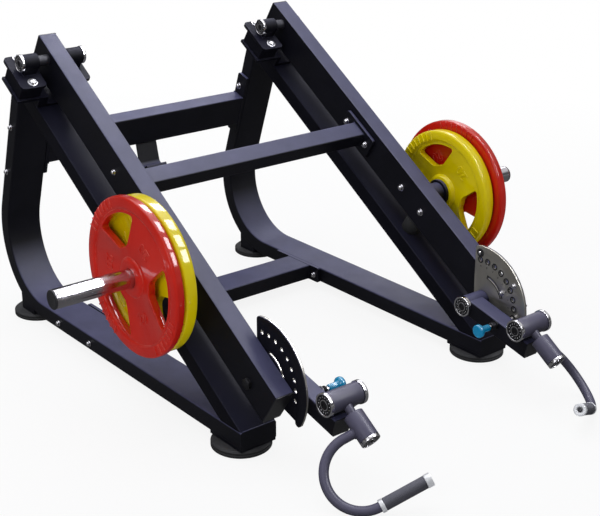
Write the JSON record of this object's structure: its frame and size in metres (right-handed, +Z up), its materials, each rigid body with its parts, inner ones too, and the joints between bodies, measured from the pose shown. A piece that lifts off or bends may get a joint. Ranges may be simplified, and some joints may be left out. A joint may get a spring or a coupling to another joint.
{
  "type": "shrug machine",
  "caption": "Plate-loaded shrug machine: a welded stand, a pivoting weight lever with plate horns, and swivelling hooked handles on adjustable links.",
  "frame": {"origin": "on the floor under the middle of the machine's bounding box", "axes": "+Z up, the user's side and handles towards -Y, the machine's right side at +X"},
  "size_m": [1.5968, 1.7144, 0.9052],
  "materials": {
    "frame_paint": "satin blue-black powder coat",
    "chrome": "polished chrome",
    "rubber": "matt black rubber",
    "red_coating": "satin red urethane",
    "yellow_coating": "satin yellow urethane",
    "knob_plastic": "smooth cyan-blue plastic",
    "aluminium": "fine satin aluminium",
    "black_plastic": "matt black plastic"
  },
  "bodies": {
    "frame": {"rear_crossbeam": "frame_paint", "base_crossbeam": "frame_paint", "hook_plate": "frame_paint", "base_tube_left": "frame_paint", "diagonal_left": "frame_paint", "foot_front_left": "rubber", "foot_rear_left": "rubber", "saddle_left": "frame_paint", "bearing_inner_left": "frame_paint", "bumper_left": "rubber", "base_tube_right": "frame_paint", "diagonal_right": "frame_paint", "foot_front_right": "rubber", "foot_rear_right": "rubber", "saddle_right": "frame_paint", "bearing_inner_right": "frame_paint", "bumper_right": "rubber", "bearing_outer_left": "frame_paint"},
    "lever": {"lever_crossbeam": "frame_paint", "arm_left": "frame_paint", "pivot_shaft_left": "chrome", "horn_base_left": "frame_paint", "horn_left": "chrome", "horn_cap_left": "black_plastic", "index_plate_left": "frame_paint", "hub_axle_left": "chrome", "arm_right": "frame_paint", "pivot_shaft_right": "chrome", "horn_base_right": "frame_paint", "horn_right": "chrome", "horn_cap_right": "black_plastic", "index_plate_right": "frame_paint", "hub_axle_right": "chrome"},
    "link_assembly_left": {"link_left": "frame_paint", "pin_barrel_left": "chrome", "knuckle_shaft_left": "chrome"},
    "pull_pin_left": {"pop_pin_left": "chrome", "pin_knob_left": "knob_plastic"},
    "knuckle_left": {"knuckle_sleeve_left": "frame_paint", "kingpin_left": "chrome"},
    "handle_assembly_left": {"handle_left": "frame_paint", "grip_left": "rubber", "grip_collar_left": "aluminium", "grip_cap_left": "aluminium"},
    "yellow_weight_left": {"plate_yellow_left": "yellow_coating"},
    "red_weight_left": {"plate_red_left": "red_coating"},
    "link_assembly_right": {"link_right": "frame_paint", "pin_barrel_right": "chrome", "knuckle_shaft_right": "chrome"},
    "pull_pin_right": {"pop_pin_right": "chrome", "pin_knob_right": "knob_plastic"},
    "knuckle_right": {"knuckle_sleeve_right": "frame_paint", "kingpin_right": "chrome"},
    "handle_assembly_right": {"handle_right": "frame_paint", "grip_right": "rubber", "grip_collar_right": "aluminium", "grip_cap_right": "aluminium"},
    "yellow_weight_right": {"plate_yellow_right": "yellow_coating"},
    "red_weight_right": {"plate_red_right": "red_coating"}
  },
  "joints": [
    {"name": "lever_lift", "type": "hinge", "parent": "frame", "child": "lever", "pos_m": [0, 0.5409, 0.84217], "axis": [-1, 0, 0], "range_deg": [0, 30]},
    {"name": "link_tilt_left", "type": "hinge", "parent": "lever", "child": "link_assembly_left", "pos_m": [-0.3375, -0.38411, 0.19736], "axis": [-1, 0, 0], "range_deg": [0, 106]},
    {"name": "pin_slide_left", "type": "slide", "parent": "link_assembly_left", "child": "pull_pin_left", "axis": [-1, 0, 0], "range_m": [0, 0.0085]},
    {"name": "knuckle_pitch_left", "type": "hinge", "parent": "link_assembly_left", "child": "knuckle_left", "pos_m": [-0.3295, -0.60311, 0.20836], "axis": [-1, 0, 0], "range_deg": [-10, 45]},
    {"name": "handle_swivel_left", "type": "hinge", "parent": "knuckle_left", "child": "handle_assembly_left", "pos_m": [-0.3295, -0.67707, 0.15904], "axis": [0, -0.832, -0.5548], "continuous": true},
    {"name": "yellow_slide_left", "type": "slide", "parent": "lever", "child": "yellow_weight_left", "axis": [-1, 0, 0], "range_m": [0, 0.29]},
    {"name": "red_slide_left", "type": "slide", "parent": "yellow_weight_left", "child": "red_weight_left", "axis": [-1, 0, 0], "range_m": [0, 0.25]},
    {"name": "link_tilt_right", "type": "hinge", "parent": "lever", "child": "link_assembly_right", "pos_m": [0.3375, -0.38411, 0.19736], "axis": [-1, 0, 0], "range_deg": [0, 106]},
    {"name": "pin_slide_right", "type": "slide", "parent": "link_assembly_right", "child": "pull_pin_right", "axis": [1, 0, 0], "range_m": [0, 0.0085]},
    {"name": "knuckle_pitch_right", "type": "hinge", "parent": "link_assembly_right", "child": "knuckle_right", "pos_m": [0.3295, -0.60311, 0.20836], "axis": [-1, 0, 0], "range_deg": [-10, 45]},
    {"name": "handle_swivel_right", "type": "hinge", "parent": "knuckle_right", "child": "handle_assembly_right", "pos_m": [0.3295, -0.67707, 0.15904], "axis": [0, -0.832, -0.5548], "continuous": true},
    {"name": "yellow_slide_right", "type": "slide", "parent": "lever", "child": "yellow_weight_right", "axis": [1, 0, 0], "range_m": [0, 0.29]},
    {"name": "red_slide_right", "type": "slide", "parent": "yellow_weight_right", "child": "red_weight_right", "axis": [1, 0, 0], "range_m": [0, 0.25]}
  ]
}
